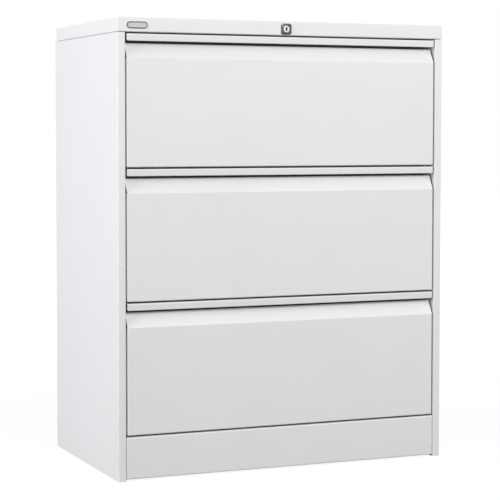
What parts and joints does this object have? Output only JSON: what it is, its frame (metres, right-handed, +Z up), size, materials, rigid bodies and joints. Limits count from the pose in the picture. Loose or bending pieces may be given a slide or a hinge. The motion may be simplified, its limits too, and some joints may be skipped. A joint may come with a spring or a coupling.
{
  "type": "lateral filing cabinet",
  "caption": "Wide steel filing cabinet with full-width drawers on telescopic slides, folded-in finger pulls, one lock for all drawers and a flush plinth.",
  "frame": {"origin": "on the floor, under the middle of the outline", "axes": "+Z up; the drawers open towards -Y; X across the width"},
  "size_m": [0.8, 0.473, 1.016],
  "materials": {
    "paint": "pale grey-white powder coat, fine texture, low sheen",
    "zinc": "bright zinc plate",
    "nickel": "polished nickel",
    "dark_chrome": "dark chrome",
    "badge": "satin",
    "foot": "moulded"
  },
  "bodies": {
    "carcass": {"left_side_panel": "paint", "right_side_panel": "paint", "left_upright": "paint", "right_upright": "paint", "top_cap": "paint", "back_panel": "paint", "base_pan": "paint", "plinth": "paint", "upper_cross_rail": "paint", "lower_cross_rail": "paint", "top_slide_outer_left": "zinc", "top_slide_outer_right": "zinc", "middle_slide_outer_left": "zinc", "middle_slide_outer_right": "zinc", "bottom_slide_outer_left": "zinc", "bottom_slide_outer_right": "zinc", "lock_body": "dark_chrome", "lock_nut": "zinc", "lock_rod_bracket": "zinc", "lock_bar_channel": "zinc", "badge_plate": "badge"},
    "top_drawer": {"top_drawer_front": "paint", "top_drawer_liner": "paint", "top_drawer_tray": "paint", "top_drawer_file_rail_front": "zinc", "top_drawer_file_rail_rear": "zinc", "top_drawer_lock_catch": "zinc", "top_slide_inner_left": "zinc", "top_slide_inner_right": "zinc"},
    "top_slide_middles": {"top_slide_middle_left": "zinc", "top_slide_middle_right": "zinc"},
    "middle_drawer": {"middle_drawer_front": "paint", "middle_drawer_liner": "paint", "middle_drawer_tray": "paint", "middle_drawer_file_rail_front": "zinc", "middle_drawer_file_rail_rear": "zinc", "middle_drawer_lock_catch": "zinc", "middle_slide_inner_left": "zinc", "middle_slide_inner_right": "zinc"},
    "middle_slide_middles": {"middle_slide_middle_left": "zinc", "middle_slide_middle_right": "zinc"},
    "bottom_drawer": {"bottom_drawer_front": "paint", "bottom_drawer_liner": "paint", "bottom_drawer_tray": "paint", "bottom_drawer_file_rail_front": "zinc", "bottom_drawer_file_rail_rear": "zinc", "bottom_drawer_lock_catch": "zinc", "bottom_slide_inner_left": "zinc", "bottom_slide_inner_right": "zinc"},
    "bottom_slide_middles": {"bottom_slide_middle_left": "zinc", "bottom_slide_middle_right": "zinc"},
    "lock_core": {"lock_plug": "nickel", "lock_rod": "zinc"},
    "lock_bar": {"lock_bar": "zinc"},
    "foot_front_left": {"foot_front_left": "foot"},
    "foot_front_right": {"foot_front_right": "foot"},
    "foot_rear_left": {"foot_rear_left": "foot"},
    "foot_rear_right": {"foot_rear_right": "foot"}
  },
  "joints": [
    {"name": "top_drawer_slide", "type": "slide", "parent": "carcass", "child": "top_drawer", "axis": [0, -1, 0], "range_m": [0, 0.4]},
    {"name": "top_middle_members_slide", "type": "slide", "parent": "carcass", "child": "top_slide_middles", "axis": [0, -1, 0], "range_m": [0, 0.2]},
    {"name": "middle_drawer_slide", "type": "slide", "parent": "carcass", "child": "middle_drawer", "axis": [0, -1, 0], "range_m": [0, 0.4]},
    {"name": "middle_middle_members_slide", "type": "slide", "parent": "carcass", "child": "middle_slide_middles", "axis": [0, -1, 0], "range_m": [0, 0.2]},
    {"name": "bottom_drawer_slide", "type": "slide", "parent": "carcass", "child": "bottom_drawer", "axis": [0, -1, 0], "range_m": [0, 0.4]},
    {"name": "bottom_middle_members_slide", "type": "slide", "parent": "carcass", "child": "bottom_slide_middles", "axis": [0, -1, 0], "range_m": [0, 0.2]},
    {"name": "lock_turn", "type": "hinge", "parent": "carcass", "child": "lock_core", "pos_m": [0, -0.2335, 0.9988], "axis": [0, 1, 0], "range_deg": [0, 90]},
    {"name": "lock_bar_drop", "type": "slide", "parent": "carcass", "child": "lock_bar", "axis": [0, 0, 1], "range_m": [-0.01202, 0]},
    {"name": "foot_front_left_screw", "type": "slide", "parent": "carcass", "child": "foot_front_left", "axis": [0, 0, 1], "range_m": [-0.012, 0]},
    {"name": "foot_front_right_screw", "type": "slide", "parent": "carcass", "child": "foot_front_right", "axis": [0, 0, 1], "range_m": [-0.012, 0]},
    {"name": "foot_rear_left_screw", "type": "slide", "parent": "carcass", "child": "foot_rear_left", "axis": [0, 0, 1], "range_m": [-0.012, 0]},
    {"name": "foot_rear_right_screw", "type": "slide", "parent": "carcass", "child": "foot_rear_right", "axis": [0, 0, 1], "range_m": [-0.012, 0]}
  ],
  "couplings": [
    {"joint": "top_middle_members_slide", "follows": "top_drawer_slide", "ratio": 0.5},
    {"joint": "middle_middle_members_slide", "follows": "middle_drawer_slide", "ratio": 0.5},
    {"joint": "bottom_middle_members_slide", "follows": "bottom_drawer_slide", "ratio": 0.5},
    {"joint": "lock_turn", "follows": "lock_bar_drop", "rad_per_m": -130.67}
  ]
}
